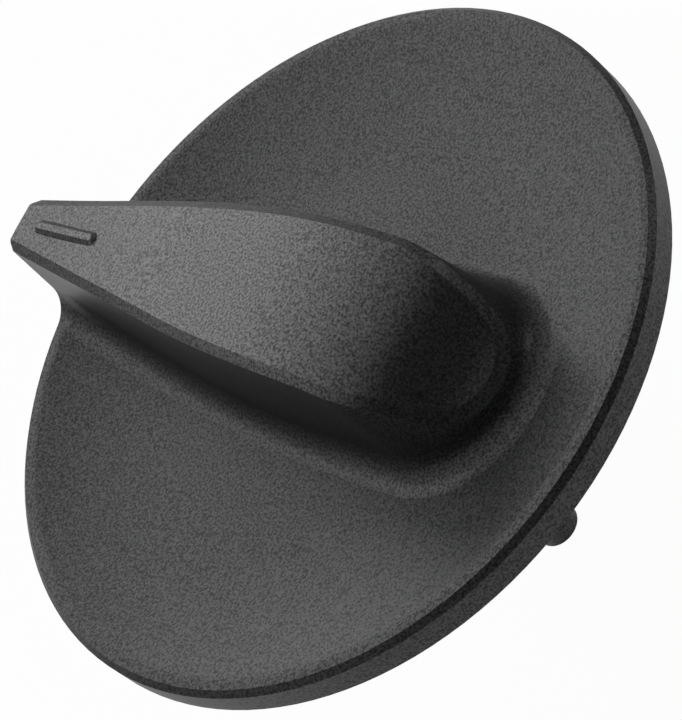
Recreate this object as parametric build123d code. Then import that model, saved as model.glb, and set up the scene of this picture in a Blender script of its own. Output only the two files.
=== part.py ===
"""Rotary control knob for a kitchen appliance, moulded in one piece.

A dished disc carries a tapered pointer grip on its face and a hub with a drive spindle on its back.
The origin lies on the spindle's axis, at the hub's shoulder. +Z points to the user, +Y along the pointer.
"""
from build123d import *
import os
from math import asin, cos, degrees, radians, sin, tan

# Disc, in mm: heights are measured from the hub's shoulder
disc_d = 63.8
hub_height = 6.0
rim_height = 2.7
rim_draft = 0.5
rim_chamfer = 0.5
land_w = 1.65
land_turn_r = 2.0
dish_depth = 2.0
dish_floor_r = 14.0
disc_wall = 1.8
lip_w = 1.6

# Grip seen from above, where its walls meet the dish floor
tail_r = 8.0
tail_y = -14.7
tail_lean = 15.0
side_bend_y = -8.0
taper_y = 10.0
taper_angle = 8.5
grip_draft = 5.0
grip_fillet = 2.5

# Grip seen from the side: heights above the rim, slopes in degrees
nose_h = 8.55
nose_slope = 2.0
back_y = 20.0
back_h = 9.2
back_slope = 5.0
crest_y = 8.0
crest_h = 9.75
brow_y = -9.0
brow_h = 9.15
brow_slope = 9.0
scoop_y = -16.0
scoop_h = 6.5
scoop_slope = 43.0
toe_y = -22.6
toe_h = 0.7
toe_slope = 18.0
edge_chamfer_w = 0.75
edge_chamfer_h = 0.5

# Indicator rib on the nose
indicator_l = 9.1
indicator_w = 1.4
indicator_h = 0.4
indicator_slope = 45.0
indicator_y = 24.8

# Hollow under the grip
grip_wall = 2.2
web_t = 1.6
core_nose_gap = 10.0

# Hub, gussets and spindle
hub_d = 11.0
gusset_t = 1.6
gusset_reach = 8.0
gusset_foot = 1.0
spindle_d = 7.0
spindle_l = 20.0
flat_l = 9.0
flat_depth = 0.75
pilot_d = 4.2
pilot_l = 8.4
tip_chamfer = 0.6

# Levels and radii that follow from the sizes above
disc_r = disc_d / 2
back_z = hub_height
rim_z = back_z + rim_height
floor_z = rim_z - dish_depth
under_z = floor_z - disc_wall
lip_r = disc_r - lip_w
dish_run = disc_r - land_w - dish_floor_r
dish_r = (dish_run**2 + dish_depth**2) / (2 * dish_depth)
dish_angle = degrees(asin(dish_run / dish_r))
spare = 5.0


def section(plane, *lines):
    """The face inside a closed row of lines drawn on a plane."""
    return make_face(plane * (Curve() + list(lines)))


def disc_blank():
    """The disc's dished face turned about the axis, still thick below and oversize at its wall."""
    out_r = disc_r + spare
    low_z = under_z - spare
    floor = Line((0, floor_z), (dish_floor_r, floor_z))
    bowl = JernArc(floor @ 1, (1, 0), dish_r, dish_angle)
    turn = JernArc(bowl @ 1, bowl % 1, land_turn_r, -dish_angle)
    rest = Polyline(turn @ 1, (out_r, (turn @ 1).Y), (out_r, low_z), (0, low_z), floor @ 0)
    return revolve(section(Plane.XZ, floor, bowl, turn, rest), Axis.Z)


def below_disc():
    """What is cleared from under the disc to leave a wall, its back two cones along the dish, and a lip."""
    out_r = disc_r + 2 * spare
    low_z = under_z - 2 * spare
    floor = Line((0, under_z), (dish_floor_r, under_z))
    bowl_r = dish_r + disc_wall
    bowl = JernArc(floor @ 1, (1, 0), bowl_r, degrees(asin((lip_r - dish_floor_r) / bowl_r)))
    cones = Polyline(bowl @ 0, bowl @ 0.5, bowl @ 1)
    rest = Polyline(bowl @ 1, (lip_r, back_z), (out_r, back_z), (out_r, low_z), (0, low_z), floor @ 0)
    return revolve(section(Plane.XZ, floor, cones, rest), Axis.Z)


def wall_r(z):
    """Radius of the drafted outer wall at a height."""
    return disc_r - (z - back_z) * tan(radians(rim_draft))


def inside_wall():
    """Everything within the outer wall, which ends the disc and the grip's nose flush."""
    low_z = under_z - 2 * spare
    high_z = rim_z + crest_h + 2 * spare
    edge = Polyline((0, low_z), (wall_r(low_z), low_z), (wall_r(high_z), high_z), (0, high_z), (0, low_z))
    return revolve(section(Plane.XZ, edge), Axis.Z)


def grip_outline(rise, inset, nose_y):
    """The grip from above at a height over the dish floor: a round tail, gently bent sides and a taper."""
    inset += rise * tan(radians(grip_draft))
    half_w = tail_r - inset
    side_r = (taper_y - side_bend_y) / sin(radians(taper_angle)) - inset
    centre_y = tail_y + rise * tan(radians(tail_lean))
    tail = CenterArc((0, centre_y), half_w, 180, 180)
    side = Line((half_w, centre_y), (half_w, side_bend_y))
    bend = JernArc(side @ 1, (0, 1), side_r, taper_angle)
    taper = PolarLine(bend @ 1, (nose_y - (bend @ 1).Y) / cos(radians(taper_angle)), direction=bend % 1)
    nose = TangentArc(taper @ 1, (-(taper @ 1).X, nose_y), tangent=taper % 1)
    right = Curve() + [side, bend, taper]
    outline = section(Plane.XY, tail, right, nose, mirror(right, Plane.YZ))
    return Pos(0, 0, floor_z + rise) * outline


def grip_walls(inset, nose_y, low_z):
    """The grip's sloping walls, up past its crest."""
    high_z = rim_z + crest_h + 1
    levels = [grip_outline(z - floor_z, inset, nose_y) for z in (low_z, high_z)]
    return loft(levels, ruled=True)


def heading(slope):
    """Direction towards the tail that falls by a slope."""
    return (-cos(radians(slope)), -sin(radians(slope)))


def long_profile(drop):
    """The grip's top from the side: a long crowned back, a crest, a scoop for the thumb and a low toe."""
    nose_y = disc_r + spare
    nose = (nose_y, rim_z + nose_h - spare * tan(radians(nose_slope)) - drop)
    back = (back_y, rim_z + back_h - drop)
    crest = (crest_y, rim_z + crest_h - drop)
    brow = (brow_y, rim_z + brow_h - drop)
    scoop = (scoop_y, rim_z + scoop_h - drop)
    toe = (toe_y, rim_z + toe_h - drop)
    slopes = [-nose_slope, -back_slope, 0, brow_slope, scoop_slope, toe_slope]
    return Spline(nose, back, crest, brow, scoop, toe, tangents=[heading(slope) for slope in slopes])


def above_top(drop):
    """What lies above the grip's top."""
    line = long_profile(drop)
    lid_z = rim_z + crest_h + 2 * spare
    half_x = tail_r + spare
    lid = Polyline(line @ 1, ((line @ 1).X, lid_z), ((line @ 0).X, lid_z), line @ 0)
    return extrude(Pos(-half_x, 0, 0) * section(Plane.YZ, line, lid), 2 * half_x, dir=(1, 0, 0))


def grip_core():
    """The two hollows under the grip, either side of a web and clear of the hub."""
    core = grip_walls(grip_wall, disc_r - core_nose_gap, under_z - spare) - above_top(grip_wall)
    return core - Box(web_t, 2 * disc_d, 2 * disc_d) - Cylinder(hub_d / 2, 2 * disc_d)


def indicator(top):
    """The raised line on the nose, set on the grip's top."""
    above = Axis((0, indicator_y, rim_z + crest_h + spare), (0, 0, -1))
    spot, out = top.find_intersection_points(above)[0]
    seat = Plane(spot, x_dir=(1, 0, 0), z_dir=out).offset(-indicator_h)
    spread = 2 * indicator_h * tan(radians(indicator_slope))
    slot = SlotOverall(indicator_l + spread, indicator_w + spread, rotation=90)
    return extrude(seat * slot, 2 * indicator_h, taper=indicator_slope)


def gussets():
    """The two ribs that brace the hub against the disc, left and right of the grip."""
    low_z = gusset_foot
    hub_r = hub_d / 2
    foot_r = hub_r + gusset_reach
    side = Polyline((0, low_z), (hub_r, low_z), (foot_r, under_z), (foot_r, under_z + disc_wall / 2))
    half = Curve() + [side, Line(side @ 1, (0, (side @ 1).Y)), Line((0, (side @ 1).Y), side @ 0)]
    rib = extrude(Pos(0, gusset_t / 2, 0) * make_face(Plane.XZ * half), gusset_t, dir=(0, -1, 0))
    return rib + mirror(rib, Plane.YZ)


def spindle():
    """The hub's drive spindle with its flat, and the thinner pilot at its end."""
    hub = Cylinder(hub_d / 2, floor_z, align=down_to_up)
    shaft = Pos(0, 0, -spindle_l) * Cylinder(spindle_d / 2, spindle_l, align=down_to_up)
    flat_z = flat_l / 2 - spindle_l
    shaft -= Pos(0, spindle_d - flat_depth, flat_z) * Box(spindle_d, spindle_d, flat_l)
    pilot = Pos(0, 0, -spindle_l - pilot_l) * Cylinder(pilot_d / 2, pilot_l, align=down_to_up)
    pilot = chamfer(pilot.edges().group_by(Axis.Z)[0], tip_chamfer)
    return hub + shaft + pilot


down_to_up = (Align.CENTER, Align.CENTER, Align.MIN)

# The grip grows out of an oversize disc, so its fillet and chamfer run past the rim before both are trimmed
blank = disc_blank()
walls = grip_walls(0, disc_r + 1, floor_z - disc_wall)
body = blank + walls
body = fillet(new_edges(blank, walls, combined=body), grip_fillet)
body -= above_top(0)
raised = body.faces().filter_by(lambda face: face.center().Z > rim_z + toe_h)
top = max(raised, key=lambda face: face.normal_at().Z)
body = chamfer(top.edges(), edge_chamfer_w, edge_chamfer_h, reference=top)
body &= inside_wall()

# The rim's small chamfer runs on up the corners of the nose
outer = max(body.faces().filter_by(GeomType.CONE), key=lambda face: face.area)
rim = [edge for edge in outer.edges() if rim_z - 0.2 < edge.center().Z < rim_z + nose_h - 2 * edge_chamfer_h]
body = chamfer(rim, rim_chamfer)

body -= below_disc()
body -= grip_core()
body += indicator(top)
body += gussets()
body += spindle()

os.makedirs("parts", exist_ok=True)
export_step(body, "parts/knob_body.step")
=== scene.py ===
"""Looks of the control knob: grained charcoal plastic, soft studio light and the photograph's camera."""

from math import pi

import bpy
from mathutils import Matrix, Vector


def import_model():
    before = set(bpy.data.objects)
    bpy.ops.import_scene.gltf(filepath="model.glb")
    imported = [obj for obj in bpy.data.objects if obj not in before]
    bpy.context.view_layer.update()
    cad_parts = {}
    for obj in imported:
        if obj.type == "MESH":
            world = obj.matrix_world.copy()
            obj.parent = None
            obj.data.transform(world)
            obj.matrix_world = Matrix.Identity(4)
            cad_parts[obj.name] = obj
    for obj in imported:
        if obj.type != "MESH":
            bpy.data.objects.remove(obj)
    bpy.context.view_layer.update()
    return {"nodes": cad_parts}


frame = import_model()
scene = bpy.context.scene

# Places in metres, in the part's frame: the rim, the floor under the stem's tip and what the lamps face
RIM_Z = 0.0087
FLOOR_Z = -0.0286
FLOOR_WIDTH = 6
TARGET = Vector((0.0, 0.0, 0.006))

# Plastic's grain: noise scales per metre, the share of broad clouds, colours, and its depth in metres
GRAIN_SCALE = 4600
CLOUD_SCALE = 220
CLOUD_SHARE = 0.35
TONE_SPAN = (0.3, 0.7)
DARK_GRAIN = (0.012, 0.0125, 0.0138, 1)
LIGHT_GRAIN = (0.022, 0.0228, 0.025, 1)
GRAIN_STRENGTH = 0.35
GRAIN_DEPTH = 0.00006

# Plastic's sheen: its roughness, the glint of the grain's peaks, and the heights over which the sheen grows
# stronger towards the top
PLASTIC_IOR = 1.5
ROUGHNESS = (0.37, 0.46)
GLINT_SPAN = (0.35, 0.65)
GLINT = (0.2, 0.8)
TOP_SHEEN_Z = (0.0145, 0.0185)
TOP_SHEEN_GAIN = (1.0, 2.2)

# Lamps: where they stand, seen from the knob, and how far away in metres
KEY_DIRECTION = (0.37, 0.83, 0.42)
FILL_DIRECTION = (-0.1, 0.68, 0.73)
KICKER_DIRECTION = (0.85, -0.35, 0.33)
LAMP_DISTANCE = 1.0

# White paper: its colour, and how much of it is plain white to the eye and in gloss
PAPER = (0.9, 0.9, 0.9, 1)
PAPER_TO_EYE = 0.97
PAPER_IN_GLOSS = 0.45

# Surround: its light from 0, facing away from the fill lamp, to 1, facing it, and its fade at the horizon
SURROUND_DIM = 0.03
SURROUND = ((0.5, 0.03), (0.6, 0.07), (0.68, 0.55), (0.75, 0.85), (0.85, 0.95), (0.93, 1.0))
SURROUND_STRENGTH = 0.7
HORIZON = (0.22, 0.38)
HORIZON_SHARE = 0.15

# The photograph's camera, fitted to the rim: its axes, its place from the rim's centre, its lens in mm
CAMERA_RIGHT = (0.46018, -0.66956, -0.58303)
CAMERA_UP = (0.8662, 0.19454, 0.46027)
CAMERA_BACK = (-0.19476, -0.71683, 0.66949)
CAMERA_PLACE = Vector((-0.05073, -0.18511, 0.16942))
SENSOR_WIDTH = 36
LENS = 156.1


def new_material(name):
    """A material with nothing but its output node."""
    material = bpy.data.materials.new(name)
    material.use_nodes = True
    tree = material.node_tree
    tree.nodes.clear()
    return material, tree, tree.nodes.new("ShaderNodeOutputMaterial")


def map_range(tree, value, span, result):
    """A value's span mapped on to another span and held at its ends."""
    node = tree.nodes.new("ShaderNodeMapRange")
    for name, number in zip(("From Min", "From Max", "To Min", "To Max"), (*span, *result)):
        node.inputs[name].default_value = number
    tree.links.new(value, node.inputs["Value"])
    return node.outputs["Result"]


def noise(tree, place, scale, detail, roughness):
    """Noise in the part's own space."""
    node = tree.nodes.new("ShaderNodeTexNoise")
    node.inputs["Scale"].default_value = scale
    node.inputs["Detail"].default_value = detail
    node.inputs["Roughness"].default_value = roughness
    tree.links.new(place, node.inputs["Vector"])
    return node.outputs["Fac"]


def plastic():
    """Dark charcoal plastic with a fine spark-eroded grain and a satin sheen."""
    material, tree, output = new_material("charcoal_plastic")
    add = tree.nodes.new
    link = tree.links.new
    place = add("ShaderNodeTexCoord").outputs["Object"]
    grain = noise(tree, place, GRAIN_SCALE, detail=1.0, roughness=0.6)
    cloud = noise(tree, place, CLOUD_SCALE, detail=3.0, roughness=0.5)

    tone = add("ShaderNodeMix")
    tone.data_type = "FLOAT"
    tone.inputs[0].default_value = CLOUD_SHARE
    link(grain, tone.inputs[2])
    link(cloud, tone.inputs[3])
    colour = add("ShaderNodeValToRGB")
    for stop, position, shade in zip(colour.color_ramp.elements, TONE_SPAN, (DARK_GRAIN, LIGHT_GRAIN)):
        stop.position = position
        stop.color = shade
    link(tone.outputs[0], colour.inputs["Fac"])

    height = add("ShaderNodeSeparateXYZ")
    link(place, height.inputs["Vector"])
    # Sheen strength: the grain's glint, raised more and more with height towards the top of the grip
    sheen_level = add("ShaderNodeMath")
    sheen_level.operation = "MULTIPLY"
    link(map_range(tree, grain, GLINT_SPAN, GLINT), sheen_level.inputs[0])
    link(map_range(tree, height.outputs["Z"], TOP_SHEEN_Z, TOP_SHEEN_GAIN), sheen_level.inputs[1])

    bump = add("ShaderNodeBump")
    bump.inputs["Strength"].default_value = GRAIN_STRENGTH
    bump.inputs["Distance"].default_value = GRAIN_DEPTH
    link(grain, bump.inputs["Height"])

    shader = add("ShaderNodeBsdfPrincipled")
    shader.inputs["IOR"].default_value = PLASTIC_IOR
    link(colour.outputs["Color"], shader.inputs["Base Color"])
    link(map_range(tree, grain, TONE_SPAN, ROUGHNESS), shader.inputs["Roughness"])
    link(sheen_level.outputs["Value"], shader.inputs["Specular IOR Level"])
    link(bump.outputs["Normal"], shader.inputs["Normal"])
    link(shader.outputs["BSDF"], output.inputs["Surface"])
    return material


def paper():
    """Plain white paper that is nearly pure white to the eye, half white in gloss, and keeps soft shadows."""
    material, tree, output = new_material("floor_white")
    add = tree.nodes.new
    link = tree.links.new
    matt = add("ShaderNodeBsdfDiffuse")
    matt.inputs["Color"].default_value = PAPER
    white = add("ShaderNodeEmission")
    path = add("ShaderNodeLightPath")
    mirrored = add("ShaderNodeMath")
    mirrored.operation = "MULTIPLY"
    mirrored.inputs[1].default_value = PAPER_IN_GLOSS
    link(path.outputs["Is Glossy Ray"], mirrored.inputs[0])
    seen = add("ShaderNodeMath")
    seen.operation = "MULTIPLY_ADD"
    seen.inputs[1].default_value = PAPER_TO_EYE
    link(path.outputs["Is Camera Ray"], seen.inputs[0])
    link(mirrored.outputs["Value"], seen.inputs[2])
    mix = add("ShaderNodeMixShader")
    link(seen.outputs["Value"], mix.inputs["Fac"])
    link(matt.outputs["BSDF"], mix.inputs[1])
    link(white.outputs["Emission"], mix.inputs[2])
    link(mix.outputs["Shader"], output.inputs["Surface"])
    return material


def floor():
    """The wide studio floor."""
    bpy.ops.mesh.primitive_plane_add(size=1, location=(0, 0, FLOOR_Z))
    sheet = bpy.context.object
    sheet.name = "floor"
    sheet.scale = (FLOOR_WIDTH, FLOOR_WIDTH, 1)
    sheet.data.materials.append(paper())


def lamp(name, direction, width, glare):
    """A round soft box that faces the knob, as bright to look at as glare says, where 1 is paper white."""
    data = bpy.data.lights.new(name, "AREA")
    data.shape = "DISK"
    data.size = width
    data.energy = glare * pi * pi * (width / 2) ** 2
    item = bpy.data.objects.new(name, data)
    item.location = TARGET + LAMP_DISTANCE * Vector(direction).normalized()
    item.rotation_euler = Vector(direction).to_track_quat("Z", "Y").to_euler()
    scene.collection.objects.link(item)


def camera():
    """The photograph's view."""
    data = bpy.data.cameras.new("camera")
    data.sensor_width = SENSOR_WIDTH
    data.lens = LENS
    data.clip_start = 0.01
    item = bpy.data.objects.new("camera", data)
    turn = Matrix((CAMERA_RIGHT, CAMERA_UP, CAMERA_BACK)).transposed().to_4x4()
    item.matrix_world = Matrix.Translation(CAMERA_PLACE + Vector((0, 0, RIM_Z))) @ turn
    scene.collection.objects.link(item)
    scene.camera = item


def world():
    """Surrounding light that swells high at the back and stays dark on the camera's side."""
    surround = bpy.data.worlds.new("studio")
    surround.use_nodes = True
    tree = surround.node_tree
    add = tree.nodes.new
    link = tree.links.new
    background = tree.nodes["Background"]
    place = add("ShaderNodeTexCoord").outputs["Generated"]

    along = add("ShaderNodeVectorMath")
    along.operation = "DOT_PRODUCT"
    along.inputs[1].default_value = Vector(FILL_DIRECTION).normalized()
    link(place, along.inputs[0])
    swell = add("ShaderNodeValToRGB")
    stops = swell.color_ramp.elements
    stops[0].color = (SURROUND_DIM, SURROUND_DIM, SURROUND_DIM, 1)
    stops[1].color = (1, 1, 1, 1)
    for position, level in SURROUND:
        stops.new(position).color = (level, level, level, 1)
    link(map_range(tree, along.outputs["Value"], (-1, 1), (0, 1)), swell.inputs["Fac"])
    link(swell.outputs["Color"], background.inputs["Color"])

    height = add("ShaderNodeSeparateXYZ")
    link(place, height.inputs["Vector"])
    strength = (HORIZON_SHARE * SURROUND_STRENGTH, SURROUND_STRENGTH)
    link(map_range(tree, height.outputs["Z"], HORIZON, strength), background.inputs["Strength"])
    scene.world = surround


skin = plastic()
for slot in frame["nodes"]["knob_body"].material_slots:
    slot.material = skin
floor()
lamp("key", KEY_DIRECTION, width=0.45, glare=2.8)
lamp("fill", FILL_DIRECTION, width=0.6, glare=1.4)
lamp("kicker", KICKER_DIRECTION, width=0.3, glare=3)
camera()
world()
scene.view_settings.view_transform = "Standard"
